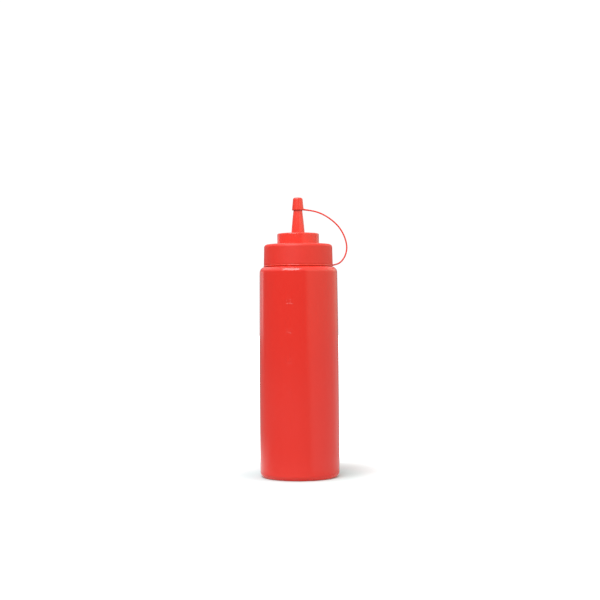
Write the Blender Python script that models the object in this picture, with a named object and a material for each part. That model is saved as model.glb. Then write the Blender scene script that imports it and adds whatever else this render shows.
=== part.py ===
"""Squeeze bottle: a bottle body, a screw cap with a nozzle, and a tip cap on a strap with its ring.

The bottle stands on its base. Its axis is the Z axis, the base is at z = 0, and the strap bows out
towards +X. The three pieces are separate solids that clear each other by one small gap.
"""
import math

import bmesh
import bpy
import numpy as np

MM = 0.001

# Driving sizes of the bottle body
BODY_RADIUS = 36.1 * MM
WIDEST_HEIGHT = 30.0 * MM
NARROWING_AT_BASE = 0.1 * MM
NARROWING_AT_SHOULDER = 0.75 * MM
BASE_CORNER = 4.3 * MM
SHOULDER_HEIGHT = 190.9 * MM
SHOULDER_CORNER = 5.3 * MM
NECK_RADIUS = 28.5 * MM
NECK_TOP = 207.0 * MM
NECK_TOP_CORNER = 0.8 * MM

# Driving sizes of the screw cap
COLLAR_RADIUS = 31.45 * MM
COLLAR_NARROWING = 0.35 * MM
COLLAR_BOTTOM = 193.0 * MM
COLLAR_TOP = 211.3 * MM
COLLAR_CORNER = 3.3 * MM
COLLAR_LIP = 0.3 * MM
TIER_RADIUS = 19.05 * MM
TIER_TOP = 221.25 * MM
TIER_ROOT_FILLET = 0.8 * MM
TIER_CORNER = 0.9 * MM
NOZZLE_ROOT_RADIUS = 6.12 * MM
NOZZLE_ROOT_FILLET = 0.7 * MM
NOZZLE_TIP_RADIUS = 3.04 * MM
NOZZLE_TOP = 250.6 * MM
NOZZLE_TIP_CORNER = 0.4 * MM
NOZZLE_BOW = 1.2

# Driving sizes of the tip cap, the strap and the retaining ring
TIP_TOP = 254.0 * MM
TIP_TOP_RADIUS = 4.45 * MM
TIP_TOP_CORNER = 1.8 * MM
TIP_SKIRT_RADIUS = 5.38 * MM
TIP_SKIRT_CORNER = 0.45 * MM
TIP_BOTTOM = 242.5 * MM
RING_RADIUS = 31.65 * MM
RING_BOTTOM = 191.2 * MM
RING_TOP = 192.5 * MM
RING_CORNER = 0.45 * MM
STRAP_THICKNESS = 1.3 * MM
STRAP_WIDTH = 1.7 * MM
STRAP_ROOT_SWELL = 0.25
STRAP_SWELL_REACH = 3.0 * MM

# Strap's centre line in the XZ plane, from inside the tip cap's wall to inside the ring
STRAP_ROUTE = [
    (4.9, 243.2),
    (7.8, 242.75),
    (15.1, 241.47),
    (22.4, 238.78),
    (30.6, 233.55),
    (36.9, 227.45),
    (40.85, 221.35),
    (43.5, 214.4),
    (44.35, 208.1),
    (43.15, 201.7),
    (39.95, 196.3),
    (36.5, 193.6),
    (33.5, 192.65),
    (30.3, 191.85),
]

# Clearance between neighbouring pieces
GAP = 0.3 * MM

# Fineness of the facets
TURN_STEPS = 64
TIP_TURN_STEPS = 36
CORNER_STEPS = 5
SIDE_STEPS = 8
NOZZLE_STEPS = 9
STRAP_STEPS = 54
STRAP_SIDES = 12
SMOOTH_ANGLE = math.radians(35.0)

RED = (0.74, 0.035, 0.024, 1.0)
CAP_RED = (0.80, 0.050, 0.035, 1.0)
ROUGHNESS = 0.38


def clear_scene():
    for old in list(bpy.data.objects):
        bpy.data.objects.remove(old, do_unlink=True)


def plastic(name, colour):
    """Opaque soft plastic of one colour."""
    material = bpy.data.materials.new(name)
    material.use_nodes = True
    shader = material.node_tree.nodes["Principled BSDF"]
    shader.inputs["Base Color"].default_value = colour
    shader.inputs["Roughness"].default_value = ROUGHNESS
    shader.inputs["Metallic"].default_value = 0.0
    return material


def arc(centre_r, centre_z, radius, start_deg, end_deg, steps=CORNER_STEPS):
    """Points of a round corner in the (radius, height) plane, both ends included."""
    points = []
    for i in range(steps + 1):
        angle = math.radians(start_deg + (end_deg - start_deg) * i / steps)
        points.append((centre_r + radius * math.cos(angle), centre_z + radius * math.sin(angle)))
    return points


def turned_mesh(name, profile, steps):
    """Closed solid turned about Z from a profile of (radius, height) points."""
    bm = bmesh.new()
    row = [bm.verts.new((r, 0.0, z)) for r, z in profile]
    edges = [bm.edges.new(pair) for pair in zip(row, row[1:])]
    if profile[0][0] > 0.0:
        edges.append(bm.edges.new((row[-1], row[0])))
    bmesh.ops.spin(
        bm,
        geom=row + edges,
        cent=(0.0, 0.0, 0.0),
        axis=(0.0, 0.0, 1.0),
        angle=2.0 * math.pi,
        steps=steps,
        use_merge=True,
    )
    bmesh.ops.remove_doubles(bm, verts=bm.verts, dist=0.001 * MM)
    bmesh.ops.recalc_face_normals(bm, faces=bm.faces)
    mesh = bpy.data.meshes.new(name)
    bm.to_mesh(mesh)
    bm.free()
    return mesh


def add_object(name, mesh, material):
    """Object of a mesh, shaded smooth over its round stretches."""
    mesh.materials.append(material)
    mesh.shade_smooth()
    mesh.set_sharp_from_angle(angle=SMOOTH_ANGLE)
    piece = bpy.data.objects.new(name, mesh)
    bpy.context.scene.collection.objects.link(piece)
    return piece


def body_side_radius(z):
    """Barrel side: widest at WIDEST_HEIGHT and narrower by a parabola above and below it."""
    if z < WIDEST_HEIGHT:
        share = (WIDEST_HEIGHT - z) / WIDEST_HEIGHT
        return BODY_RADIUS - NARROWING_AT_BASE * share**2
    share = (z - WIDEST_HEIGHT) / (SHOULDER_HEIGHT - WIDEST_HEIGHT)
    return BODY_RADIUS - NARROWING_AT_SHOULDER * share**2


def body_profile():
    low = BASE_CORNER
    high = SHOULDER_HEIGHT - SHOULDER_CORNER
    foot_centre = body_side_radius(low) - BASE_CORNER
    shoulder_centre = body_side_radius(high) - SHOULDER_CORNER
    points = [(0.0, 0.0)]
    points += arc(foot_centre, low, BASE_CORNER, -90.0, 0.0)
    for i in range(1, SIDE_STEPS):
        z = low + (high - low) * i / SIDE_STEPS
        points.append((body_side_radius(z), z))
    points += arc(shoulder_centre, high, SHOULDER_CORNER, 0.0, 90.0)
    points.append((NECK_RADIUS, SHOULDER_HEIGHT))
    points.append((NECK_RADIUS, NECK_TOP - NECK_TOP_CORNER))
    points.append((NECK_RADIUS - NECK_TOP_CORNER, NECK_TOP))
    points.append((0.0, NECK_TOP))
    return points


def nozzle_radius(z):
    """Nozzle's outer radius, a cone that bows slightly outwards."""
    share = max(0.0, (z - TIER_TOP) / (NOZZLE_TOP - TIER_TOP))
    return NOZZLE_ROOT_RADIUS - (NOZZLE_ROOT_RADIUS - NOZZLE_TIP_RADIUS) * share**NOZZLE_BOW


def cap_profile():
    """From the socket's ceiling, down its wall, round the lip and up the outside to the nozzle's tip."""
    socket_radius = NECK_RADIUS + GAP
    socket_top = NECK_TOP + GAP
    points = [(0.0, socket_top)]
    points.append((socket_radius - NECK_TOP_CORNER, socket_top))
    points.append((socket_radius, socket_top - NECK_TOP_CORNER))
    points.append((socket_radius, COLLAR_BOTTOM))
    points += arc(COLLAR_RADIUS - COLLAR_LIP, COLLAR_BOTTOM + COLLAR_LIP, COLLAR_LIP, -90.0, 0.0, 2)
    corner_centre = COLLAR_RADIUS - COLLAR_NARROWING - COLLAR_CORNER
    points += arc(corner_centre, COLLAR_TOP - COLLAR_CORNER, COLLAR_CORNER, 0.0, 90.0)
    fillet = TIER_ROOT_FILLET
    points += arc(TIER_RADIUS + fillet, COLLAR_TOP + fillet, fillet, 270.0, 180.0, 3)
    points += arc(TIER_RADIUS - TIER_CORNER, TIER_TOP - TIER_CORNER, TIER_CORNER, 0.0, 90.0, 3)
    fillet = NOZZLE_ROOT_FILLET
    start = TIER_TOP + fillet
    points += arc(nozzle_radius(start) + fillet, start, fillet, 270.0, 180.0, 3)
    high = NOZZLE_TOP - NOZZLE_TIP_CORNER
    for i in range(1, NOZZLE_STEPS + 1):
        z = start + (high - start) * i / NOZZLE_STEPS
        points.append((nozzle_radius(z), z))
    points.append((nozzle_radius(high) - NOZZLE_TIP_CORNER, NOZZLE_TOP))
    points.append((0.0, NOZZLE_TOP))
    return points


def tip_profile():
    """Cup that fits over the nozzle's tip: outside from the top down, then up the inside."""
    corner = TIP_SKIRT_CORNER
    points = [(0.0, TIP_TOP)]
    points += arc(TIP_TOP_RADIUS - TIP_TOP_CORNER, TIP_TOP - TIP_TOP_CORNER, TIP_TOP_CORNER, 90.0, 0.0)
    points += arc(TIP_SKIRT_RADIUS - corner, TIP_BOTTOM + corner, corner, 0.0, -90.0, 3)
    inner_top = NOZZLE_TOP + GAP
    for z in (TIP_BOTTOM, (TIP_BOTTOM + NOZZLE_TOP) / 2.0, NOZZLE_TOP - NOZZLE_TIP_CORNER):
        points.append((nozzle_radius(z) + GAP, z))
    points.append((nozzle_radius(NOZZLE_TOP) - NOZZLE_TIP_CORNER + GAP, inner_top))
    points.append((0.0, inner_top))
    return points


def ring_profile():
    """Thin flat ring round the neck, just under the collar."""
    inner = NECK_RADIUS + GAP
    outer = RING_RADIUS - RING_CORNER
    points = [(inner, RING_BOTTOM)]
    points += arc(outer, RING_BOTTOM + RING_CORNER, RING_CORNER, -90.0, 0.0, 2)
    points += arc(outer, RING_TOP - RING_CORNER, RING_CORNER, 0.0, 90.0, 2)
    points.append((inner, RING_TOP))
    return points


def smooth_line(points, count):
    """Evenly spaced points of the natural cubic spline through some points."""
    knots = np.array(points)
    chord = np.linalg.norm(np.diff(knots, axis=0), axis=1)
    place = np.concatenate([[0.0], np.cumsum(chord)])
    total = len(knots)
    system = np.eye(total)
    right = np.zeros_like(knots)
    for i in range(1, total - 1):
        system[i, i - 1] = chord[i - 1]
        system[i, i] = 2.0 * (chord[i - 1] + chord[i])
        system[i, i + 1] = chord[i]
        slope_after = (knots[i + 1] - knots[i]) / chord[i]
        slope_before = (knots[i] - knots[i - 1]) / chord[i - 1]
        right[i] = 6.0 * (slope_after - slope_before)
    bend = np.linalg.solve(system, right)
    wanted = np.linspace(0.0, place[-1], count)
    span = np.clip(np.searchsorted(place, wanted, side="right") - 1, 0, total - 2)
    width = chord[span][:, None]
    ahead = (place[span + 1] - wanted)[:, None]
    behind = (wanted - place[span])[:, None]
    near, far = knots[span], knots[span + 1]
    near_bend, far_bend = bend[span], bend[span + 1]
    curve = near_bend * ahead**3 / (6.0 * width) + far_bend * behind**3 / (6.0 * width)
    curve += (near / width - near_bend * width / 6.0) * ahead
    curve += (far / width - far_bend * width / 6.0) * behind
    return curve


def strap_mesh():
    """Oval strap swept along its route, a little thicker where it joins the tip cap."""
    line = smooth_line(STRAP_ROUTE, STRAP_STEPS + 1) * MM
    along = np.gradient(line, axis=0)
    along /= np.linalg.norm(along, axis=1)[:, None]
    step = np.linalg.norm(np.diff(line, axis=0), axis=1)
    place = np.concatenate([[0.0], np.cumsum(step)])
    swell = 1.0 + STRAP_ROOT_SWELL * np.exp(-place / STRAP_SWELL_REACH)
    bm = bmesh.new()
    rings = []
    for (x, z), (along_x, along_z), grow in zip(line, along, swell):
        ring = []
        for side in range(STRAP_SIDES):
            angle = 2.0 * math.pi * side / STRAP_SIDES
            out = 0.5 * STRAP_THICKNESS * grow * math.cos(angle)
            across = 0.5 * STRAP_WIDTH * grow * math.sin(angle)
            ring.append(bm.verts.new((x - along_z * out, across, z + along_x * out)))
        rings.append(ring)
    for ring, following in zip(rings, rings[1:]):
        for i in range(STRAP_SIDES):
            j = (i + 1) % STRAP_SIDES
            bm.faces.new((ring[i], ring[j], following[j], following[i]))
    bm.faces.new(rings[0])
    bm.faces.new(rings[-1])
    bmesh.ops.recalc_face_normals(bm, faces=bm.faces)
    mesh = bpy.data.meshes.new("strap")
    bm.to_mesh(mesh)
    bm.free()
    return mesh


def helper(piece):
    """Mark an object as a shape that only another object's Boolean uses."""
    piece.hide_render = True
    piece.display_type = "WIRE"
    return piece


def join(target, piece):
    """Fuse another object's shape onto the target."""
    union = target.modifiers.new("join " + piece.name, "BOOLEAN")
    union.operation = "UNION"
    union.solver = "EXACT"
    union.object = piece


def make_body(material):
    return add_object("bottle_body", turned_mesh("bottle_body", body_profile(), TURN_STEPS), material)


def make_cap(material):
    return add_object("screw_cap", turned_mesh("screw_cap", cap_profile(), TURN_STEPS), material)


def make_tip(material):
    """Tip cap, strap and ring are one moulding, so they are fused into one solid."""
    tip = add_object("tip_cap_strap", turned_mesh("tip_cap_strap", tip_profile(), TIP_TURN_STEPS), material)
    strap = helper(add_object("strap", strap_mesh(), material))
    ring = helper(add_object("ring", turned_mesh("ring", ring_profile(), TURN_STEPS), material))
    join(tip, strap)
    join(tip, ring)
    return tip


def main():
    clear_scene()
    make_body(plastic("body_plastic", RED))
    make_cap(plastic("cap_plastic", CAP_RED))
    make_tip(plastic("tip_plastic", CAP_RED))


main()
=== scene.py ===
"""Squeeze bottle: fine moulded surfaces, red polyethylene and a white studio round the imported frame.

Lengths are in metres. The bottle stands on z = 0 with its axis on Z, -Y faces the camera and the
strap bows out towards +X. Angles round the axis run from +X towards +Y.
"""

import math

import bpy
import numpy as np
from mathutils import Matrix, Vector


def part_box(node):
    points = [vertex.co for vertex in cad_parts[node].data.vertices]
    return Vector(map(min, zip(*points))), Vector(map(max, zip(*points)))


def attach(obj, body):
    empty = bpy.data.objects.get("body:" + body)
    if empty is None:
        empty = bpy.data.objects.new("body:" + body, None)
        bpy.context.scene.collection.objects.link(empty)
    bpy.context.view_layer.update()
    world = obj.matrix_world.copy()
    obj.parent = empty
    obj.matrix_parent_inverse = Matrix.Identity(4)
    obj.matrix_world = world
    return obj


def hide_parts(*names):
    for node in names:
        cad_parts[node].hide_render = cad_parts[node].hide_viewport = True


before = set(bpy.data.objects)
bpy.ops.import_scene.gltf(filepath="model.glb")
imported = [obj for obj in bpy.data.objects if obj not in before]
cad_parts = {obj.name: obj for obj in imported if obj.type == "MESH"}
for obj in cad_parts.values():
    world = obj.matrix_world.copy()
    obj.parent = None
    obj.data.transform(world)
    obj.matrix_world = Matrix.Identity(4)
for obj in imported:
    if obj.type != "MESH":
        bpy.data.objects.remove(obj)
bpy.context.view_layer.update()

MM = 0.001
FULL_TURN = 2.0 * math.pi

# Sizes read from the frame
BODY_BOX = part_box("bottle_body")
CAP_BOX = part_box("screw_cap")
TIP_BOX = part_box("tip_cap_strap")
BODY_RADIUS = BODY_BOX[1][0]
NECK_TOP = BODY_BOX[1][2]
COLLAR_RADIUS = CAP_BOX[1][0]
NOZZLE_TOP = CAP_BOX[1][2]
TIP_TOP = TIP_BOX[1][2]

# Bottle body
WIDEST_HEIGHT = 30.0 * MM
NARROWING_AT_BASE = 0.1 * MM
NARROWING_AT_SHOULDER = 0.75 * MM
BASE_CORNER = 4.7 * MM
SHOULDER_HEIGHT = 190.9 * MM
SHOULDER_CORNER = 5.3 * MM
NECK_RADIUS = 28.5 * MM
NECK_ROOT_FILLET = 0.3 * MM
NECK_TOP_CORNER = 0.8 * MM
PUSH_UP_DEPTH = 0.6 * MM
PUSH_UP_RADIUS = 27.0 * MM
PUSH_UP_SLOPE = 3.0 * MM

# The side that carries waves, marks and parting line lies outside this radius and above this height
SIDE_INNER_RADIUS = NECK_RADIUS + 2.0 * MM
SIDE_LOW_END = 0.2 * MM

# Slow waves of the blown wall: height, number round the body, phase, and turn along the body
WALL_WAVES = (
    (0.10 * MM, 2.0, 0.7, 1.3),
    (0.035 * MM, 3.0, -2.0, 5.0),
    (0.018 * MM, 5.0, 1.1, -9.0),
)

# Graduation marks, moulded into the body's wall at the front left
MARK_ANGLE = math.radians(256.0)
MARK_HEIGHTS = (53.0 * MM, 80.0 * MM, 106.5 * MM, 133.0 * MM, 159.0 * MM)
MARK_NUMBERS = ("200", "300", "400", "500", "600")
MARK_RELIEF = 0.09 * MM
DIGIT_HEIGHT = 2.6 * MM
DIGIT_WIDTH = 1.35 * MM
DIGIT_PITCH = 1.95 * MM
STROKE_HALF_WIDTH = 0.2 * MM
STROKE_EDGE = 0.1 * MM
TICK_LENGTH = 5.4 * MM
TICK_DROP = 1.0 * MM
MARK_MARGIN = math.radians(0.6)

# Parting line of the blow mould, a quarter turn from the marks on each side, and its pinch below the base
SEAM_ANGLES = (MARK_ANGLE - 0.5 * math.pi, MARK_ANGLE + 0.5 * math.pi)
SEAM_HEIGHT = 0.07 * MM
SEAM_WIDTH = 0.35 * MM
SEAM_REACH = math.radians(1.5)
PINCH_HEIGHT = 0.25 * MM
PINCH_WIDTH = 0.8 * MM
PINCH_LENGTH = 20.0 * MM
PINCH_END = 3.0 * MM

# Screw cap
COLLAR_BOTTOM = 192.5 * MM
COLLAR_TOP = 211.3 * MM
COLLAR_NARROWING = 0.35 * MM
COLLAR_CORNER = 2.85 * MM
COLLAR_LIP = 0.15 * MM
TIER_RADIUS = 19.05 * MM
TIER_TOP = 221.25 * MM
TIER_ROOT_FILLET = 0.4 * MM
TIER_CORNER = 1.15 * MM
NOZZLE_ROOT_RADIUS = 6.12 * MM
NOZZLE_ROOT_FILLET = 0.7 * MM
NOZZLE_TIP_RADIUS = 3.04 * MM
NOZZLE_TIP_CORNER = 0.4 * MM
NOZZLE_BOW = 1.2

# Tip cap, strap and ring
TIP_TOP_RADIUS = 4.45 * MM
TIP_TOP_CORNER = 1.65 * MM
TIP_SKIRT_RADIUS = 5.38 * MM
TIP_SKIRT_CORNER = 0.45 * MM
TIP_BOTTOM = 242.5 * MM
TIP_RIM_EDGE = 0.12 * MM
TIP_DISH_DEPTH = 0.35 * MM
TIP_DISH_FLAT = 1.0 * MM
TIP_GATE_RADIUS = 0.7 * MM
TIP_GATE_HEIGHT = 0.3 * MM
RING_RADIUS = 31.65 * MM
RING_BOTTOM = 191.05 * MM
RING_TOP = 192.45 * MM
RING_CORNER = 0.3 * MM
RING_TOP_CORNER = 0.66 * MM
STRAP_THICKNESS = 1.4 * MM
STRAP_WIDTH = 1.7 * MM
STRAP_ROOT_SWELL = 0.25
STRAP_SWELL_REACH = 3.0 * MM

# The strap's centre line in the XZ plane, as in the solid it replaces
STRAP_ROUTE = np.array([
    (4.9, 243.2),
    (7.8, 242.75),
    (15.1, 241.47),
    (22.4, 238.78),
    (30.6, 233.55),
    (36.9, 227.45),
    (40.85, 221.35),
    (43.5, 214.4),
    (44.35, 208.1),
    (43.15, 201.7),
    (39.95, 196.3),
    (36.5, 193.6),
    (33.5, 192.65),
    (30.3, 191.85),
]) * MM

# Clearance between neighbouring pieces
GAP = 0.3 * MM

# Fineness: rows along a piece, columns round it, points of a numeral's bow, and the closest spacing
BODY_ROWS = 92
MARK_ROWS = 36
BODY_COLUMNS = 128
MARK_COLUMNS = 64
SEAM_COLUMNS = 19
CAP_COLUMNS = 176
NOZZLE_ROWS = 42
TIP_COLUMNS = 112
TIP_SOCKET_ROWS = 12
STRAP_ROWS = 260
STRAP_COLUMNS = 28
STROKE_POINTS = 14
CLOSEST_ROWS = 0.03 * MM
CLOSEST_COLUMNS = math.radians(0.04)

# Red polyethylene of each moulding, at the two ends of its slight colour drift
BODY_RED = (0.66, 0.0235, 0.0133, 1.0)
BODY_DEEP_RED = (0.64, 0.0220, 0.0123, 1.0)
CAP_RED = (0.70, 0.0385, 0.0225, 1.0)
CAP_DEEP_RED = (0.68, 0.0365, 0.0210, 1.0)
TIP_RED = (0.69, 0.0335, 0.0150, 1.0)
TIP_DEEP_RED = (0.66, 0.0305, 0.0135, 1.0)

# Shared by the plastics: refraction, spread of light below the surface, roughness drift, detail of noise
PLASTIC_IOR = 1.54
SPREAD_RADIUS = (1.0, 0.25, 0.18)
SPREAD_DEPTH = 2.5 * MM
ROUGHNESS_DRIFT = (-0.03, 0.04)
NOISE_DETAIL = 2.0
PEEL_DETAIL = 3.0

# Noise of the moulded skin, in cells for each metre: draw lines up the wall, and slow drift of the colour
DRAW_LINES = 420.0
DRAW_STRETCH = (1.0, 1.0, 0.02)
DRIFT_CELLS = 38.0
DRIFT_STRETCH = (1.0, 1.0, 0.5)

# Handling marks: hairlines within patches, and how far they dull the gloss
HAIRLINES = 900.0
HAIRLINE_STRETCH = (1.0, 1.0, 0.06)
HAIRLINE_LIMITS = (0.64, 0.74)
RUB_CELLS = 55.0
RUB_LIMITS = (0.5, 0.72)
HANDLING_AMOUNT = 0.6
HANDLING_DULLNESS = 0.15

# The collar's matt grip: where it ends, how soft its edge is, how much rougher it is and its colour
MATT_GRIP_TOP = 210.8 * MM
MATT_EDGE = 0.4 * MM
MATT_GRAIN = 0.32
MATT_COLOUR = (0.635, 0.0150, 0.0040, 1.0)

# Camera, fitted to the photograph, with its angles in radians
CAMERA_DISTANCE = 1.095
CAMERA_HEIGHT = 151.5 * MM
CAMERA_LENS = 72.0
CAMERA_SENSOR = 36.0
CAMERA_PITCH = math.radians(0.477)
CAMERA_YAW = math.radians(0.067)
CAMERA_ROLL = 0.0085

# Studio light; bearings are counted from the camera's side, positive towards +X
WHITE = (1.0, 1.0, 1.0, 1.0)
SEEN_SURROUND = 1.05
ROOM_LIGHT = 0.28
UPPER_LIGHT = 0.88
UPPER_LIGHT_RISE = (0.12, 0.5)
RIGHT_CARD_BEARINGS = (math.radians(23.5), math.radians(152.0))
RIGHT_CARD_SOFTNESS = (math.radians(6.0), math.radians(12.0))
RIGHT_CARD_LIGHT = 0.58
CARD_COLOUR = (1.0, 0.95, 0.71, 1.0)
CARD_RISE = (0.08, 0.2)
CARD_MIDDLE_SHARE = 1.7
CARD_FALL = (0.35, 0.65)
CARD_TOP_SHARE = 0.3
UPPER_LEFT_BEARINGS = (math.radians(-150.0), math.radians(-45.0))
UPPER_LEFT_SOFTNESS = (math.radians(15.0), math.radians(15.0))
UPPER_LEFT_RISE = (0.3, 0.7)
UPPER_LEFT_LIGHT = 0.6
LEFT_STRIP_BEARINGS = (math.radians(-139.0), math.radians(-127.0))
LEFT_STRIP_SOFTNESS = (math.radians(1.5), math.radians(1.0))
LEFT_STRIP_FADE = (-0.07, -0.01)
LEFT_STRIP_LIGHT = 1.0
LEFT_WALL_BEARINGS = (math.radians(-172.0), math.radians(-139.0))
LEFT_WALL_SOFTNESS = (math.radians(6.0), math.radians(1.5))
LEFT_WALL_LIGHT = 0.4
STRIP_HEIGHT_FADE = (0.06, 0.22)
KEY_PLACE = (-0.527, -1.079, 1.48)
KEY_TARGET = (0.0, 0.0, 0.13)
KEY_SIZE = (1.35, 1.20)
KEY_POWER = 34.3

# Floor; distances count from the bottle's axis, and those of its painted glow to white from the glow's own
# centre
FLOOR_REACH = 6.0
FLOOR_ROUGHNESS = 0.8
FLOOR_SPECULAR = 0.2
# Cool tint painted on the floor close to the bottle against the red light the bottle bounces there, the
# plain pale floor further out, and the reach between them
FLOOR_COUNTER_BOUNCE_COLOUR = (0.55, 0.635, 0.645, 1.0)
FLOOR_FAR_COLOUR = (0.635, 0.65, 0.665, 1.0)
FLOOR_COUNTER_BOUNCE_REACH = (0.042, 0.075)
FLOOR_GLOW_CENTRE = (0.003, 0.024, 0.0)
FLOOR_GLOW_REACH = (0.044, 0.165)
# Grey that gloss and bounce rays meet, paler close to the bottle: painted light that offsets the bottle's
# own shade on the floor
GLOSS_FLOOR_NEAR = 0.40
GLOSS_FLOOR_FAR = 0.25
GLOSS_FLOOR_REACH = (0.04, 0.22)
# Glow of the floor towards the right card and in a patch behind the bottle: painted light in place of
# bounced light
BRIGHT_SIDE_EDGE = (0.42, 0.62)
BRIGHT_SIDE_LIGHT = 0.34
BRIGHT_SIDE_REACH = (0.045, 0.13)
BRIGHT_PATCH_SIDE = (0.02, 0.08)
BRIGHT_PATCH_BACK = (-0.05, 0.05)
BRIGHT_PATCH_REACH = (0.08, 0.45)
BRIGHT_PATCH_LIGHT = 0.5
# Red glow of the floor close round the base: painted light in place of the bottle's own red bounce under
# its foot
RIM_GLOW_REACH = (0.036, 0.046)
RIM_GLOW = 0.38
RIM_GLOW_COLOUR = (1.0, 0.35, 0.28, 1.0)


def arc(centre_r, centre_z, radius, start_deg, end_deg, count):
    """Points (radius, height) at even angles on a circle round a centre, both ends included."""
    angle = np.radians(np.linspace(start_deg, end_deg, count))
    return np.column_stack([centre_r + radius * np.cos(angle), centre_z + radius * np.sin(angle)])


def line(start, end, count):
    """Evenly spaced points of a straight stretch, without its two ends."""
    share = np.linspace(0.0, 1.0, count + 2)[1:-1, None]
    return np.array(start) * (1.0 - share) + np.array(end) * share


def smooth_step(value, low, high):
    """0 below low, 1 above high, and a smooth cubic between them."""
    share = np.clip((value - low) / (high - low), 0.0, 1.0)
    return share * share * (3.0 - 2.0 * share)


def profile_normals(profile):
    """Unit normals in the (radius, height) plane: the profile's direction turned a quarter clockwise."""
    ahead = np.gradient(profile, axis=0)
    ahead /= np.linalg.norm(ahead, axis=1)[:, None]
    return np.column_stack([ahead[:, 1], -ahead[:, 0]])


def turned_points(profile, angles, relief=None):
    """Grid of points: the profile carried round the axis, each point moved along its normal by relief."""
    radius = np.repeat(profile[:, 0:1], len(angles), axis=1)
    height = np.repeat(profile[:, 1:2], len(angles), axis=1)
    if relief is not None:
        normal = profile_normals(profile)
        radius = radius + normal[:, 0:1] * relief
        height = height + normal[:, 1:2] * relief
    return np.stack([radius * np.cos(angles), radius * np.sin(angles), height], axis=-1)


def grid_faces(rows, columns):
    """Quads between neighbouring rows of a grid whose last column meets its first."""
    index = np.arange(rows * columns).reshape(rows, columns)
    beside = np.roll(index, -1, axis=1)
    quads = np.stack([index[:-1], beside[:-1], beside[1:], index[1:]], axis=-1)
    return quads.reshape(-1, 4)


def pole_faces(row, pole, flip):
    """Triangles from one ring of vertices to a single pole vertex."""
    beside = np.roll(row, -1)
    centre = np.full(len(row), pole)
    sides = (beside, row, centre) if flip else (row, beside, centre)
    return np.column_stack(sides)


def closed_piece(name, points, poles=True):
    """Mesh object of a grid that closes round its columns.

    With poles, the first and last rows shrink to one vertex each. Without, the last row joins the first.
    """
    rows, columns = points.shape[:2]
    mesh = bpy.data.meshes.new(name)
    if poles:
        ring = points[1:-1]
        vertices = np.vstack([ring.reshape(-1, 3), points[0].mean(axis=0), points[-1].mean(axis=0)])
        count = ring.shape[0] * columns
        first = pole_faces(np.arange(columns), count, True)
        last = pole_faces(np.arange(count - columns, count), count + 1, False)
        faces = grid_faces(rows - 2, columns).tolist() + first.tolist() + last.tolist()
    else:
        vertices = points.reshape(-1, 3)
        faces = grid_faces(rows + 1, columns) % (rows * columns)
        faces = faces.tolist()
    mesh.from_pydata(vertices.tolist(), [], faces)
    mesh.shade_smooth()
    piece = bpy.data.objects.new(name, mesh)
    bpy.context.scene.collection.objects.link(piece)
    return piece


def thinned(values, closest):
    """Sorted values without those that lie closer than a limit to the one before."""
    merged = np.sort(values)
    return merged[np.concatenate([[True], np.diff(merged) > closest])]


def barrel_radius(height):
    """Widest at WIDEST_HEIGHT, narrower by a parabola towards the base and towards the shoulder."""
    below = (WIDEST_HEIGHT - height) / WIDEST_HEIGHT
    above = (height - WIDEST_HEIGHT) / (SHOULDER_HEIGHT - WIDEST_HEIGHT)
    narrowing = np.where(below > 0.0, NARROWING_AT_BASE * below**2, NARROWING_AT_SHOULDER * above**2)
    return BODY_RADIUS - narrowing


def side_heights():
    """Heights of the rows on the body's side: even, with close rows across each graduation mark."""
    low = BASE_CORNER
    high = SHOULDER_HEIGHT - SHOULDER_CORNER
    reach = 0.5 * DIGIT_HEIGHT + TICK_DROP
    heights = [np.linspace(low, high, BODY_ROWS)[1:-1]]
    for centre in MARK_HEIGHTS:
        heights.append(np.linspace(centre - reach, centre + reach, MARK_ROWS))
    return thinned(np.concatenate(heights), CLOSEST_ROWS)


def round_angles():
    """Angles of the body's columns: even, with close columns across the marks and each parting line."""
    angles = [np.linspace(0.0, FULL_TURN, BODY_COLUMNS, endpoint=False)]
    mark_reach = 0.5 * TICK_LENGTH / BODY_RADIUS + MARK_MARGIN
    angles.append(np.linspace(MARK_ANGLE - mark_reach, MARK_ANGLE + mark_reach, MARK_COLUMNS))
    for seam in SEAM_ANGLES:
        angles.append(np.linspace(seam - SEAM_REACH, seam + SEAM_REACH, SEAM_COLUMNS))
    return thinned(np.concatenate(angles) % FULL_TURN, CLOSEST_COLUMNS)


def body_profile():
    """From the base's centre over the raised floor, round the corner, up the barrel to the neck's top.

    Here and in the other profiles the last number of an arc or a line is its count of points.
    """
    foot_centre = barrel_radius(BASE_CORNER) - BASE_CORNER
    high = SHOULDER_HEIGHT - SHOULDER_CORNER
    shoulder_centre = barrel_radius(high) - SHOULDER_CORNER
    floor = line((0.0, 0.0), (foot_centre, 0.0), 40)
    sunk = smooth_step(floor[:, 0], PUSH_UP_RADIUS - PUSH_UP_SLOPE, PUSH_UP_RADIUS)
    floor[:, 1] = PUSH_UP_DEPTH * (1.0 - sunk)
    heights = side_heights()
    neck_fillet = NECK_ROOT_FILLET
    return np.vstack([
        [(0.0, PUSH_UP_DEPTH)],
        floor,
        arc(foot_centre, BASE_CORNER, BASE_CORNER, -90.0, 0.0, 14),
        np.column_stack([barrel_radius(heights), heights]),
        arc(shoulder_centre, high, SHOULDER_CORNER, 0.0, 90.0, 16),
        arc(NECK_RADIUS + neck_fillet, SHOULDER_HEIGHT + neck_fillet, neck_fillet, 270.0, 180.0, 5),
        line((NECK_RADIUS, SHOULDER_HEIGHT + neck_fillet), (NECK_RADIUS, NECK_TOP - NECK_TOP_CORNER), 6),
        arc(NECK_RADIUS - NECK_TOP_CORNER, NECK_TOP - NECK_TOP_CORNER, NECK_TOP_CORNER, 0.0, 90.0, 5),
        line((NECK_RADIUS - NECK_TOP_CORNER, NECK_TOP), (0.0, NECK_TOP), 4),
        [(0.0, NECK_TOP)],
    ])


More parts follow.
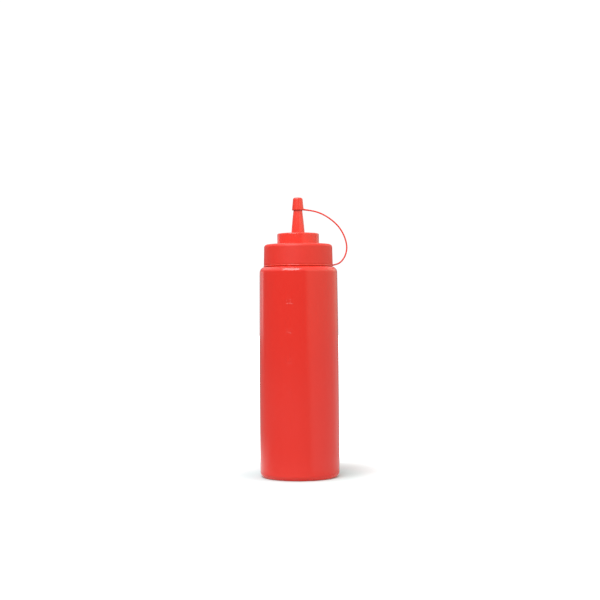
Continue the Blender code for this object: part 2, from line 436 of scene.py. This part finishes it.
def bow(centre_x, centre_y, reach_x, reach_y, start_deg, end_deg):
    """Stroke along part of an ellipse, in the digit's unit box."""
    angle = np.radians(np.linspace(start_deg, end_deg, STROKE_POINTS))
    return np.column_stack([centre_x + reach_x * np.cos(angle), centre_y + reach_y * np.sin(angle)])


def digit_strokes(digit):
    """Strokes of a plain numeral as point rows in a box from -0.5 to 0.5 each way."""
    shapes = {
        "0": [bow(0.0, 0.0, 0.5, 0.5, 0.0, 360.0)],
        "2": [
            np.vstack([bow(0.0, 0.2, 0.47, 0.3, 170.0, -35.0), [(-0.5, -0.5), (0.5, -0.5)]]),
        ],
        "3": [
            bow(0.0, 0.25, 0.44, 0.25, 155.0, -90.0),
            bow(0.0, -0.25, 0.48, 0.25, 90.0, -155.0),
        ],
        "4": [
            np.array([(0.2, -0.5), (0.2, 0.5), (-0.5, -0.18), (0.5, -0.18)]),
        ],
        "5": [
            np.vstack([
                [(0.42, 0.5), (-0.36, 0.5), (-0.42, 0.06)],
                bow(0.0, -0.18, 0.48, 0.32, 140.0, -150.0),
            ]),
        ],
        "6": [
            bow(0.0, -0.2, 0.48, 0.3, 0.0, 360.0),
            bow(0.35, -0.2, 0.83, 0.72, 180.0, 112.0),
        ],
    }
    return shapes[digit]


def distance_to_stroke(across, up, stroke):
    """Distance from each grid point to the nearest of a stroke's straight pieces."""
    nearest = np.full(across.shape, np.inf)
    for start, end in zip(stroke, stroke[1:]):
        way = end - start
        along = ((across - start[0]) * way[0] + (up - start[1]) * way[1]) / float(way @ way)
        share = np.clip(along, 0.0, 1.0)
        gap = np.hypot(across - start[0] - share * way[0], up - start[1] - share * way[1])
        nearest = np.minimum(nearest, gap)
    return nearest


def mark_relief(across, height):
    """Height of the raised numerals and ticks over the wall: full within a stroke, softly rounded off."""
    nearest = np.full(across.shape, np.inf)
    size = np.array([DIGIT_WIDTH, DIGIT_HEIGHT])
    for centre, number in zip(MARK_HEIGHTS, MARK_NUMBERS):
        near = np.abs(height - centre) < DIGIT_HEIGHT + TICK_DROP
        middle = centre + 0.5 * TICK_DROP
        for place, digit in enumerate(number):
            shift = np.array([(place - 1) * DIGIT_PITCH, middle])
            for stroke in digit_strokes(digit):
                gap = distance_to_stroke(across[near], height[near], stroke * size + shift)
                nearest[near] = np.minimum(nearest[near], gap)
        tick_height = middle - 0.5 * DIGIT_HEIGHT - TICK_DROP
        tick = np.array([(-0.5 * TICK_LENGTH, tick_height), (0.5 * TICK_LENGTH, tick_height)])
        nearest[near] = np.minimum(nearest[near], distance_to_stroke(across[near], height[near], tick))
    edge = smooth_step(nearest, STROKE_HALF_WIDTH - STROKE_EDGE, STROKE_HALF_WIDTH + STROKE_EDGE)
    return MARK_RELIEF * (1.0 - edge)


def wall_waviness(angles, height):
    """Slight unevenness of a blown wall: sine waves round it that turn along it and fade at its ends."""
    share = height / SHOULDER_HEIGHT
    swell = np.sin(np.pi * np.clip(share, 0.0, 1.0)) ** 0.5
    waves = np.zeros_like(share)
    for depth, count, phase, turn in WALL_WAVES:
        waves += depth * np.sin(count * angles + phase + turn * share)
    return waves * swell


def parting_relief(around, radius, height, side):
    """Parting line of the mould on both sides: a low rounded ridge up the side, a pinch below the base.

    Each is a bell curve of the distance from the parting plane, and the pinch fades out at its end.
    """
    relief = np.zeros_like(radius)
    for seam in SEAM_ANGLES:
        off = (around - seam + np.pi) % FULL_TURN - np.pi
        from_plane = radius * np.sin(off)
        ahead = np.cos(off) > 0.0
        relief += SEAM_HEIGHT * np.exp(-((from_plane / SEAM_WIDTH) ** 2)) * side * ahead
        under = (height <= PUSH_UP_DEPTH) & (radius < PINCH_LENGTH) & ahead
        pinch = PINCH_HEIGHT * np.exp(-((from_plane / PINCH_WIDTH) ** 2)) * under
        relief += pinch * (1.0 - smooth_step(radius, PINCH_LENGTH - PINCH_END, PINCH_LENGTH))
    return relief


def make_body():
    """Blown body: the barrel profile turned about the axis, with waves, parting line and raised marks."""
    profile = body_profile()
    angles = round_angles()
    height = np.repeat(profile[:, 1:2], len(angles), axis=1)
    radius = np.repeat(profile[:, 0:1], len(angles), axis=1)
    around = np.broadcast_to(angles, height.shape)
    side = (radius > SIDE_INNER_RADIUS) & (height > SIDE_LOW_END)
    relief = np.where(side, wall_waviness(around, height), 0.0)
    across = (around - MARK_ANGLE) * BODY_RADIUS
    relief += mark_relief(across, height) * side
    relief += parting_relief(around, radius, height, side)
    piece = closed_piece("bottle_wall", turned_points(profile, angles, relief))
    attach(piece, "root")
    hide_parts("bottle_body")
    return piece


def nozzle_radius(height):
    """Cone from the step's top to the tip, bowed slightly outwards by a power of the height's share."""
    share = np.clip((height - TIER_TOP) / (NOZZLE_TOP - TIER_TOP), 0.0, 1.0)
    return NOZZLE_ROOT_RADIUS - (NOZZLE_ROOT_RADIUS - NOZZLE_TIP_RADIUS) * share**NOZZLE_BOW


def cap_profile():
    """From the socket's ceiling down its wall, round the lip, up collar and step to the nozzle's tip.

    The corner at the nozzle's tip starts at 20 degrees, because the cone already ends where it begins.
    """
    socket_radius = NECK_RADIUS + GAP
    socket_top = NECK_TOP + GAP
    corner = COLLAR_CORNER
    upper_radius = COLLAR_RADIUS - COLLAR_NARROWING
    root = TIER_ROOT_FILLET
    foot = NOZZLE_ROOT_FILLET
    foot_height = TIER_TOP + foot
    tip_height = NOZZLE_TOP - NOZZLE_TIP_CORNER
    heights = np.linspace(foot_height, tip_height, NOZZLE_ROWS)[1:]
    tip_radius = float(nozzle_radius(tip_height))
    return np.vstack([
        [(0.0, socket_top)],
        line((0.0, socket_top), (socket_radius - NECK_TOP_CORNER, socket_top), 4),
        arc(socket_radius - NECK_TOP_CORNER, socket_top - NECK_TOP_CORNER, NECK_TOP_CORNER, 90.0, 0.0, 5),
        line((socket_radius, socket_top - NECK_TOP_CORNER), (socket_radius, COLLAR_BOTTOM), 8),
        [(socket_radius, COLLAR_BOTTOM)],
        arc(COLLAR_RADIUS - COLLAR_LIP, COLLAR_BOTTOM + COLLAR_LIP, COLLAR_LIP, -90.0, 0.0, 6),
        line((COLLAR_RADIUS, COLLAR_BOTTOM + COLLAR_LIP), (upper_radius, COLLAR_TOP - corner), 20),
        arc(upper_radius - corner, COLLAR_TOP - corner, corner, 0.0, 90.0, 18),
        line((upper_radius - corner, COLLAR_TOP), (TIER_RADIUS + root, COLLAR_TOP), 12),
        arc(TIER_RADIUS + root, COLLAR_TOP + root, root, 270.0, 180.0, 8),
        line((TIER_RADIUS, COLLAR_TOP + root), (TIER_RADIUS, TIER_TOP - TIER_CORNER), 12),
        arc(TIER_RADIUS - TIER_CORNER, TIER_TOP - TIER_CORNER, TIER_CORNER, 0.0, 90.0, 8),
        line((TIER_RADIUS - TIER_CORNER, TIER_TOP), (NOZZLE_ROOT_RADIUS + foot, TIER_TOP), 12),
        arc(float(nozzle_radius(foot_height)) + foot, foot_height, foot, 270.0, 180.0, 8),
        np.column_stack([nozzle_radius(heights), heights]),
        arc(tip_radius - NOZZLE_TIP_CORNER, tip_height, NOZZLE_TIP_CORNER, 20.0, 90.0, 5),
        line((tip_radius - NOZZLE_TIP_CORNER, NOZZLE_TOP), (0.0, NOZZLE_TOP), 3),
        [(0.0, NOZZLE_TOP)],
    ])


def make_cap():
    """Screw cap: collar, step and nozzle turned in one profile."""
    angles = np.linspace(0.0, FULL_TURN, CAP_COLUMNS, endpoint=False)
    piece = closed_piece("cap_shell", turned_points(cap_profile(), angles))
    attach(piece, "root")
    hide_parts("screw_cap")
    return piece


def tip_profile():
    """From the cup's ceiling down its inner wall, round the rim, up the outside and over the dished top.

    The dish sinks towards the axis by a smooth step, and the gate mark in it is a flat-topped bell curve.
    """
    corner = TIP_SKIRT_CORNER
    top_corner = TIP_TOP_CORNER
    inner_top = NOZZLE_TOP + GAP
    inside = np.linspace(NOZZLE_TOP - NOZZLE_TIP_CORNER, TIP_BOTTOM + TIP_RIM_EDGE, TIP_SOCKET_ROWS)
    rim_radius = float(nozzle_radius(TIP_BOTTOM)) + GAP + TIP_RIM_EDGE
    inner_tip = float(nozzle_radius(NOZZLE_TOP)) - NOZZLE_TIP_CORNER + GAP
    dish = line((TIP_TOP_RADIUS - TIP_TOP_CORNER, TIP_TOP), (0.0, TIP_TOP), 18)
    sink = 1.0 - smooth_step(dish[:, 0], TIP_DISH_FLAT, TIP_TOP_RADIUS - TIP_TOP_CORNER)
    gate = np.exp(-((dish[:, 0] / TIP_GATE_RADIUS) ** 4))
    dish[:, 1] += TIP_GATE_HEIGHT * gate - TIP_DISH_DEPTH * sink
    return np.vstack([
        [(0.0, inner_top)],
        line((0.0, inner_top), (inner_tip, inner_top), 2),
        [(inner_tip, inner_top)],
        np.column_stack([nozzle_radius(inside) + GAP, inside]),
        arc(rim_radius, TIP_BOTTOM + TIP_RIM_EDGE, TIP_RIM_EDGE, 180.0, 270.0, 4)[1:],
        arc(TIP_SKIRT_RADIUS - corner, TIP_BOTTOM + corner, corner, -90.0, 0.0, 7),
        line((TIP_SKIRT_RADIUS, TIP_BOTTOM + corner), (TIP_TOP_RADIUS, TIP_TOP - top_corner), 22),
        arc(TIP_TOP_RADIUS - top_corner, TIP_TOP - top_corner, top_corner, 0.0, 90.0, 12),
        dish,
        [(0.0, TIP_TOP - TIP_DISH_DEPTH + TIP_GATE_HEIGHT)],
    ])


def make_tip():
    """Tip cap: a cup over the nozzle's tip, turned in one profile."""
    angles = np.linspace(0.0, FULL_TURN, TIP_COLUMNS, endpoint=False)
    piece = closed_piece("tip_cup", turned_points(tip_profile(), angles))
    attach(piece, "root")
    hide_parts("tip_cap_strap")
    return piece


def smooth_line(knots, count):
    """Evenly spaced points of the natural cubic spline through some knots.

    Its place along the knots is their summed distance. The bends at the knots solve the usual system of
    three terms a row, with no bend at either end.
    """
    chord = np.linalg.norm(np.diff(knots, axis=0), axis=1)
    place = np.concatenate([[0.0], np.cumsum(chord)])
    total = len(knots)
    inner = np.arange(1, total - 1)
    system = np.eye(total)
    system[inner, inner - 1] = chord[:-1]
    system[inner, inner] = 2.0 * (chord[:-1] + chord[1:])
    system[inner, inner + 1] = chord[1:]
    slope = np.diff(knots, axis=0) / chord[:, None]
    right = np.zeros_like(knots)
    right[1:-1] = 6.0 * np.diff(slope, axis=0)
    bend = np.linalg.solve(system, right)
    wanted = np.linspace(0.0, place[-1], count)
    span = np.clip(np.searchsorted(place, wanted, side="right") - 1, 0, total - 2)
    width = chord[span][:, None]
    ahead = (place[span + 1] - wanted)[:, None]
    behind = (wanted - place[span])[:, None]
    curve = bend[span] * ahead**3 / (6.0 * width) + bend[span + 1] * behind**3 / (6.0 * width)
    curve += (knots[span] / width - bend[span] * width / 6.0) * ahead
    curve += (knots[span + 1] / width - bend[span + 1] * width / 6.0) * behind
    return curve


def make_strap():
    """Strap: an oval section carried along the route, swollen at the tip cap by a share that dies away."""
    centre = smooth_line(STRAP_ROUTE, STRAP_ROWS)
    along = np.gradient(centre, axis=0)
    along /= np.linalg.norm(along, axis=1)[:, None]
    place = np.concatenate([[0.0], np.cumsum(np.linalg.norm(np.diff(centre, axis=0), axis=1))])
    swell = 1.0 + STRAP_ROOT_SWELL * np.exp(-place / STRAP_SWELL_REACH)
    angle = np.linspace(0.0, FULL_TURN, STRAP_COLUMNS, endpoint=False)
    out = 0.5 * STRAP_THICKNESS * swell[:, None] * np.cos(angle)
    across = 0.5 * STRAP_WIDTH * swell[:, None] * np.sin(angle)
    x = centre[:, 0:1] - along[:, 1:2] * out
    z = centre[:, 1:2] + along[:, 0:1] * out
    points = np.stack([x, across, z], axis=-1)
    ends = np.repeat(points[[0, -1]].mean(axis=1, keepdims=True), len(angle), axis=1)
    points = np.concatenate([ends[:1], points, ends[1:]])
    piece = closed_piece("tether_strap", points)
    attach(piece, "root")
    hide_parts("tip_cap_strap")
    return piece


def make_ring():
    """Retaining ring: a thin flat section turned about the axis."""
    inner = NECK_RADIUS + GAP
    corner = RING_CORNER
    top_corner = RING_TOP_CORNER
    profile = np.vstack([
        arc(RING_RADIUS - corner, RING_BOTTOM + corner, corner, -90.0, 0.0, 5),
        arc(RING_RADIUS - top_corner, RING_TOP - top_corner, top_corner, 0.0, 90.0, 7),
        arc(inner + corner, RING_TOP - corner, corner, 90.0, 180.0, 5),
        arc(inner + corner, RING_BOTTOM + corner, corner, 180.0, 270.0, 5),
    ])
    angles = np.linspace(0.0, FULL_TURN, CAP_COLUMNS, endpoint=False)
    piece = closed_piece("neck_ring", turned_points(profile, angles), poles=False)
    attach(piece, "root")
    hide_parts("tip_cap_strap")
    return piece


def new_group(name, inputs, outputs):
    """Empty node group with value or vector sockets, and its input and output nodes."""
    group = bpy.data.node_groups.new(name, "ShaderNodeTree")
    kinds = {"value": "NodeSocketFloat", "vector": "NodeSocketVector"}
    for label, kind in inputs:
        group.interface.new_socket(label, in_out="INPUT", socket_type=kinds[kind])
    for label, kind in outputs:
        group.interface.new_socket(label, in_out="OUTPUT", socket_type=kinds[kind])
    return group, group.nodes.new("NodeGroupInput"), group.nodes.new("NodeGroupOutput")


def math_node(tree, operation, first, second):
    """Math node fed by sockets or plain numbers, and its result socket."""
    node = tree.nodes.new("ShaderNodeMath")
    node.operation = operation
    for socket, value in zip(node.inputs, (first, second)):
        if isinstance(value, (int, float)):
            socket.default_value = value
        else:
            tree.links.new(value, socket)
    return node.outputs[0]


def map_range(tree, value, low, high, out_low=0.0, out_high=1.0, way="SMOOTHSTEP"):
    """Value carried from one range to another by a smooth step or a LINEAR way, and its result socket."""
    node = tree.nodes.new("ShaderNodeMapRange")
    node.interpolation_type = way
    node.inputs["From Min"].default_value = low
    node.inputs["From Max"].default_value = high
    node.inputs["To Min"].default_value = out_low
    node.inputs["To Max"].default_value = out_high
    tree.links.new(value, node.inputs["Value"])
    return node.outputs["Result"]


def mix_colours(tree, share, first, second):
    """Mix of two colours, each a socket or a plain colour, by a share socket, and its result socket."""
    node = tree.nodes.new("ShaderNodeMix")
    node.data_type = "RGBA"
    tree.links.new(share, node.inputs["Factor"])
    for label, colour in (("A", first), ("B", second)):
        if isinstance(colour, tuple):
            node.inputs[label].default_value = colour
        else:
            tree.links.new(colour, node.inputs[label])
    return node.outputs["Result"]


def noise_value(tree, place, scale, stretch=(1.0, 1.0, 1.0), detail=NOISE_DETAIL):
    """Noise over the place vector, stretched along the axes, and its value socket."""
    mapping = tree.nodes.new("ShaderNodeMapping")
    mapping.inputs["Scale"].default_value = stretch
    noise = tree.nodes.new("ShaderNodeTexNoise")
    noise.inputs["Detail"].default_value = detail
    tree.links.new(place, mapping.inputs["Vector"])
    tree.links.new(mapping.outputs["Vector"], noise.inputs["Vector"])
    if isinstance(scale, (int, float)):
        noise.inputs["Scale"].default_value = scale
    else:
        tree.links.new(scale, noise.inputs["Scale"])
    return noise.outputs["Fac"]


def moulded_skin_group():
    """Height of a moulded skin, fine orange peel plus faint draw lines, and a slow drift value."""
    group, given, result = new_group(
        "moulded_skin",
        [("Place", "vector"), ("Peel Scale", "value"), ("Peel Depth", "value"), ("Draw Depth", "value")],
        [("Height", "value"), ("Drift", "value")],
    )
    place = given.outputs["Place"]
    peel = noise_value(group, place, given.outputs["Peel Scale"], detail=PEEL_DETAIL)
    draw = noise_value(group, place, DRAW_LINES, DRAW_STRETCH)
    drift = noise_value(group, place, DRIFT_CELLS, DRIFT_STRETCH)
    peel_height = math_node(group, "MULTIPLY", peel, given.outputs["Peel Depth"])
    draw_height = math_node(group, "MULTIPLY", draw, given.outputs["Draw Depth"])
    height = math_node(group, "ADD", peel_height, draw_height)
    group.links.new(height, result.inputs["Height"])
    group.links.new(drift, result.inputs["Drift"])
    return group


def handling_group():
    """Mask of light handling marks: sparse short hairlines that show within a few rubbed patches."""
    group, given, result = new_group(
        "handling_marks",
        [("Place", "vector"), ("Amount", "value")],
        [("Mask", "value")],
    )
    place = given.outputs["Place"]
    hairline = noise_value(group, place, HAIRLINES, HAIRLINE_STRETCH)
    patch = noise_value(group, place, RUB_CELLS)
    thin = map_range(group, hairline, *HAIRLINE_LIMITS, way="LINEAR")
    where = map_range(group, patch, *RUB_LIMITS, way="LINEAR")
    mask = math_node(group, "MULTIPLY", thin, where)
    amount = math_node(group, "MULTIPLY", mask, given.outputs["Amount"])
    group.links.new(amount, result.inputs["Mask"])
    return group


def plastic(
    name, groups, colour, deep_colour, roughness,
    peel_scale, peel_depth, draw_depth, glow, matt_below=None,
):
    """Pigmented polyethylene: drifting red, soft gloss, orange peel and light handling marks.

    Below the height matt_below, when it is given, the skin has the fine matt grain of a grip.
    """
    skin_group, handling = groups
    material = bpy.data.materials.new(name)
    material.use_nodes = True
    tree = material.node_tree
    shader = tree.nodes["Principled BSDF"]
    shader.inputs["IOR"].default_value = PLASTIC_IOR
    shader.inputs["Subsurface Weight"].default_value = glow
    shader.inputs["Subsurface Radius"].default_value = SPREAD_RADIUS
    shader.inputs["Subsurface Scale"].default_value = SPREAD_DEPTH
    place = tree.nodes.new("ShaderNodeTexCoord").outputs["Object"]
    skin = tree.nodes.new("ShaderNodeGroup")
    skin.node_tree = skin_group
    skin.inputs["Peel Scale"].default_value = peel_scale
    skin.inputs["Peel Depth"].default_value = peel_depth
    skin.inputs["Draw Depth"].default_value = draw_depth
    marks = tree.nodes.new("ShaderNodeGroup")
    marks.node_tree = handling
    marks.inputs["Amount"].default_value = HANDLING_AMOUNT
    tree.links.new(place, skin.inputs["Place"])
    tree.links.new(place, marks.inputs["Place"])
    drift = skin.outputs["Drift"]
    red = mix_colours(tree, drift, colour, deep_colour)
    least_rough, most_rough = (roughness + change for change in ROUGHNESS_DRIFT)
    rough = map_range(tree, drift, 0.0, 1.0, least_rough, most_rough, way="LINEAR")
    dulled = math_node(tree, "MULTIPLY", marks.outputs["Mask"], HANDLING_DULLNESS)
    rough = math_node(tree, "ADD", rough, dulled)
    if matt_below is not None:
        parts = tree.nodes.new("ShaderNodeSeparateXYZ")
        tree.links.new(place, parts.inputs[0])
        height = parts.outputs["Z"]
        matt = map_range(tree, height, matt_below - MATT_EDGE, matt_below + MATT_EDGE, 1.0, 0.0)
        rough = math_node(tree, "ADD", rough, math_node(tree, "MULTIPLY", matt, MATT_GRAIN))
        red = mix_colours(tree, matt, red, MATT_COLOUR)
    tree.links.new(red, shader.inputs["Base Color"])
    tree.links.new(rough, shader.inputs["Roughness"])
    # The skin's height is in metres, so the bump takes it as it is
    bump = tree.nodes.new("ShaderNodeBump")
    bump.inputs["Strength"].default_value = 1.0
    bump.inputs["Distance"].default_value = 1.0
    tree.links.new(skin.outputs["Height"], bump.inputs["Height"])
    tree.links.new(bump.outputs["Normal"], shader.inputs["Normal"])
    return material


def make_materials():
    """Plastics of the three mouldings: blown body, cap with a matt grip, tip cap with strap and ring."""
    groups = (moulded_skin_group(), handling_group())
    body = plastic(
        "body_plastic", groups,
        colour=BODY_RED, deep_colour=BODY_DEEP_RED, roughness=0.15,
        peel_scale=900.0, peel_depth=0.012 * MM, draw_depth=0.02 * MM, glow=0.1,
    )
    cap = plastic(
        "cap_plastic", groups,
        colour=CAP_RED, deep_colour=CAP_DEEP_RED, roughness=0.20,
        peel_scale=1100.0, peel_depth=0.010 * MM, draw_depth=0.0, glow=0.12, matt_below=MATT_GRIP_TOP,
    )
    tip = plastic(
        "tip_plastic", groups,
        colour=TIP_RED, deep_colour=TIP_DEEP_RED, roughness=0.26,
        peel_scale=1200.0, peel_depth=0.010 * MM, draw_depth=0.0, glow=0.15,
    )
    return body, cap, tip


def area_light(name, place, target, size, power):
    """Rectangular soft light at a place, facing a target, with its power in watts."""
    data = bpy.data.lights.new(name, "AREA")
    data.shape = "RECTANGLE"
    data.size = size[0]
    data.size_y = size[1]
    data.energy = power
    light = bpy.data.objects.new(name, data)
    light.location = place
    light.rotation_euler = (Vector(target) - Vector(place)).to_track_quat("-Z", "Y").to_euler()
    bpy.context.scene.collection.objects.link(light)


def band(tree, value, limits, softness, light):
    """Light level between two limits: a smooth rise times a smooth fall, each with its own softness."""
    rise = map_range(tree, value, limits[0] - softness[0], limits[0] + softness[0], 0.0, light)
    fall = map_range(tree, value, limits[1] - softness[1], limits[1] + softness[1], 1.0, 0.0)
    return math_node(tree, "MULTIPLY", rise, fall)


def right_card(tree, bearing, height):
    """Level of the right card: a band of bearings, brighter above its foot and dimmer at its top."""
    card = band(tree, bearing, RIGHT_CARD_BEARINGS, RIGHT_CARD_SOFTNESS, RIGHT_CARD_LIGHT)
    card = math_node(tree, "MULTIPLY", card, map_range(tree, height, *CARD_RISE, 1.0, CARD_MIDDLE_SHARE))
    return math_node(tree, "MULTIPLY", card, map_range(tree, height, *CARD_FALL, 1.0, CARD_TOP_SHARE))


def left_cards(tree, bearing, height):
    """Level on the left: a narrow strip beside a dim wall, fading with height, and a soft card above."""
    wall = band(tree, bearing, LEFT_WALL_BEARINGS, LEFT_WALL_SOFTNESS, LEFT_WALL_LIGHT)
    strip = band(tree, bearing, LEFT_STRIP_BEARINGS, LEFT_STRIP_SOFTNESS, LEFT_STRIP_LIGHT)
    strip = math_node(tree, "MULTIPLY", strip, map_range(tree, height, *LEFT_STRIP_FADE))
    low = math_node(tree, "ADD", wall, strip)
    low = math_node(tree, "MULTIPLY", low, map_range(tree, height, *STRIP_HEIGHT_FADE, 1.0, 0.0))
    high = band(tree, bearing, UPPER_LEFT_BEARINGS, UPPER_LEFT_SOFTNESS, UPPER_LEFT_LIGHT)
    high = math_node(tree, "MULTIPLY", high, map_range(tree, height, *UPPER_LEFT_RISE))
    return math_node(tree, "ADD", low, high)


def background(tree, colour, strength):
    """Background light of a colour, its strength a socket or a plain number, and its output socket."""
    node = tree.nodes.new("ShaderNodeBackground")
    node.inputs["Color"].default_value = colour
    if isinstance(strength, float):
        node.inputs["Strength"].default_value = strength
    else:
        tree.links.new(strength, node.inputs["Strength"])
    return node.outputs["Background"]


def make_world():
    """Studio surroundings: white where seen directly, and a dim room with pale cards for light and gloss.

    The room grows brighter overhead. A direction's bearing goes round Z, and its height is its Z part.
    """
    world = bpy.data.worlds.new("studio")
    world.use_nodes = True
    tree = world.node_tree
    tree.nodes.clear()
    parts = tree.nodes.new("ShaderNodeSeparateXYZ")
    tree.links.new(tree.nodes.new("ShaderNodeTexCoord").outputs["Generated"], parts.inputs[0])
    towards_camera = math_node(tree, "MULTIPLY", parts.outputs["Y"], -1.0)
    bearing = math_node(tree, "ARCTAN2", parts.outputs["X"], towards_camera)
    height = parts.outputs["Z"]
    overhead = map_range(tree, height, *UPPER_LIGHT_RISE, ROOM_LIGHT, UPPER_LIGHT)
    room = math_node(tree, "ADD", left_cards(tree, bearing, height), overhead)
    around = tree.nodes.new("ShaderNodeAddShader")
    tree.links.new(background(tree, CARD_COLOUR, right_card(tree, bearing, height)), around.inputs[0])
    tree.links.new(background(tree, WHITE, room), around.inputs[1])
    path = tree.nodes.new("ShaderNodeLightPath")
    mix = tree.nodes.new("ShaderNodeMixShader")
    tree.links.new(path.outputs["Is Camera Ray"], mix.inputs[0])
    tree.links.new(around.outputs[0], mix.inputs[1])
    tree.links.new(background(tree, WHITE, SEEN_SURROUND), mix.inputs[2])
    result = tree.nodes.new("ShaderNodeOutputWorld")
    tree.links.new(mix.outputs[0], result.inputs["Surface"])
    bpy.context.scene.world = world


def floor_painted_glow(tree, place, distance):
    """Painted light: glow of the floor that stands in for bounced light, towards the right card and in the
    strip's patch behind the bottle.

    The first grows with the cosine of the bearing from +X, and with the distance from the base. The patch
    lies towards -X and +Y and fades with the distance.
    """
    parts = tree.nodes.new("ShaderNodeSeparateXYZ")
    tree.links.new(place, parts.inputs[0])
    towards_card = math_node(tree, "DIVIDE", parts.outputs["X"], distance)
    side_light = map_range(tree, towards_card, *BRIGHT_SIDE_EDGE, 0.0, BRIGHT_SIDE_LIGHT)
    side_light = math_node(tree, "MULTIPLY", side_light, map_range(tree, distance, *BRIGHT_SIDE_REACH))
    leftwards = math_node(tree, "MULTIPLY", parts.outputs["X"], -1.0)
    patch = map_range(tree, leftwards, *BRIGHT_PATCH_SIDE, 0.0, BRIGHT_PATCH_LIGHT)
    patch = math_node(tree, "MULTIPLY", patch, map_range(tree, parts.outputs["Y"], *BRIGHT_PATCH_BACK))
    patch = math_node(tree, "MULTIPLY", patch, map_range(tree, distance, *BRIGHT_PATCH_REACH, 1.0, 0.0))
    return math_node(tree, "ADD", side_light, patch)


def floor_material():
    """Matt pale floor: to the camera it has a painted cool tint close to the bottle, and a painted glow
    that lifts it to white away from the bottle, so the shadow round the base is partly real and partly
    painted shade.

    The gloss and the bounced light meet a greyer floor, paler close to the bottle, which also glows with
    painted light: towards the right card, in a patch behind, and in the bottle's own red close round the
    base.
    """
    material = bpy.data.materials.new("floor_white")
    material.use_nodes = True
    tree = material.node_tree
    shader = tree.nodes["Principled BSDF"]
    shader.inputs["Roughness"].default_value = FLOOR_ROUGHNESS
    shader.inputs["Specular IOR Level"].default_value = FLOOR_SPECULAR
    place = tree.nodes.new("ShaderNodeTexCoord").outputs["Object"]
    length = tree.nodes.new("ShaderNodeVectorMath")
    length.operation = "LENGTH"
    tree.links.new(place, length.inputs[0])
    distance = length.outputs["Value"]
    seen = tree.nodes.new("ShaderNodeLightPath").outputs["Is Camera Ray"]
    unseen = math_node(tree, "SUBTRACT", 1.0, seen)
    grey = map_range(tree, distance, *GLOSS_FLOOR_REACH, GLOSS_FLOOR_NEAR, GLOSS_FLOOR_FAR)
    # Painted light: a cool tint close to the bottle cancels the red light that the bottle bounces onto the
    # floor
    away = map_range(tree, distance, *FLOOR_COUNTER_BOUNCE_REACH)
    pale = mix_colours(tree, away, FLOOR_COUNTER_BOUNCE_COLOUR, FLOOR_FAR_COLOUR)
    tree.links.new(mix_colours(tree, seen, grey, pale), shader.inputs["Base Color"])
    from_centre = tree.nodes.new("ShaderNodeVectorMath")
    from_centre.operation = "DISTANCE"
    from_centre.inputs[1].default_value = FLOOR_GLOW_CENTRE
    tree.links.new(place, from_centre.inputs[0])
    # Painted light: to the camera the floor glows more with the distance from a point near the axis, so it
    # turns white away from the bottle; the shadow close round the base is part real, part painted shade
    # where this glow is missing
    camera_glow = map_range(tree, from_centre.outputs["Value"], *FLOOR_GLOW_REACH)
    camera_glow = math_node(tree, "MULTIPLY", camera_glow, seen)
    # Painted light: to gloss and bounce rays the floor glows in the bottle's red close round the base, and
    # beside and behind it
    rim = map_range(tree, distance, *RIM_GLOW_REACH, 1.0, 0.0)
    rim_glow = math_node(tree, "MULTIPLY", rim, RIM_GLOW)
    unseen_glow = math_node(tree, "ADD", floor_painted_glow(tree, place, distance), rim_glow)
    unseen_glow = math_node(tree, "MULTIPLY", unseen_glow, unseen)
    glow = math_node(tree, "ADD", camera_glow, unseen_glow)
    tree.links.new(mix_colours(tree, rim, WHITE, RIM_GLOW_COLOUR), shader.inputs["Emission Color"])
    tree.links.new(glow, shader.inputs["Emission Strength"])
    return material


def make_floor():
    """Large plain square floor."""
    reach = FLOOR_REACH
    mesh = bpy.data.meshes.new("floor")
    corners = [(-reach, -reach, 0.0), (reach, -reach, 0.0), (reach, reach, 0.0), (-reach, reach, 0.0)]
    mesh.from_pydata(corners, [], [(0, 1, 2, 3)])
    floor = bpy.data.objects.new("floor", mesh)
    mesh.materials.append(floor_material())
    bpy.context.scene.collection.objects.link(floor)


def make_studio():
    """Surroundings, floor and the one softbox, in the Standard view without a look."""
    make_world()
    make_floor()
    area_light("key_softbox", KEY_PLACE, KEY_TARGET, KEY_SIZE, KEY_POWER)
    view = bpy.context.scene.view_settings
    view.view_transform = "Standard"
    view.look = "None"


def make_camera():
    """Camera at the photograph's distance and height, pitched, turned and rolled by small angles."""
    data = bpy.data.cameras.new("camera")
    data.lens = CAMERA_LENS
    data.sensor_width = CAMERA_SENSOR
    camera = bpy.data.objects.new("camera", data)
    facing = Matrix.Rotation(0.5 * math.pi + CAMERA_PITCH, 4, "X")
    turned = Matrix.Rotation(-CAMERA_YAW, 4, "Z") @ facing @ Matrix.Rotation(-CAMERA_ROLL, 4, "Z")
    place = Matrix.Translation((0.0, -CAMERA_DISTANCE, CAMERA_HEIGHT))
    camera.matrix_world = place @ turned
    bpy.context.scene.collection.objects.link(camera)
    bpy.context.scene.camera = camera


def main():
    """The bottle's five pieces in their plastics, then the studio and the camera."""
    body_plastic, cap_plastic, tip_plastic = make_materials()
    make_body().data.materials.append(body_plastic)
    make_cap().data.materials.append(cap_plastic)
    for piece in (make_tip(), make_strap(), make_ring()):
        piece.data.materials.append(tip_plastic)
    make_studio()
    make_camera()


main()
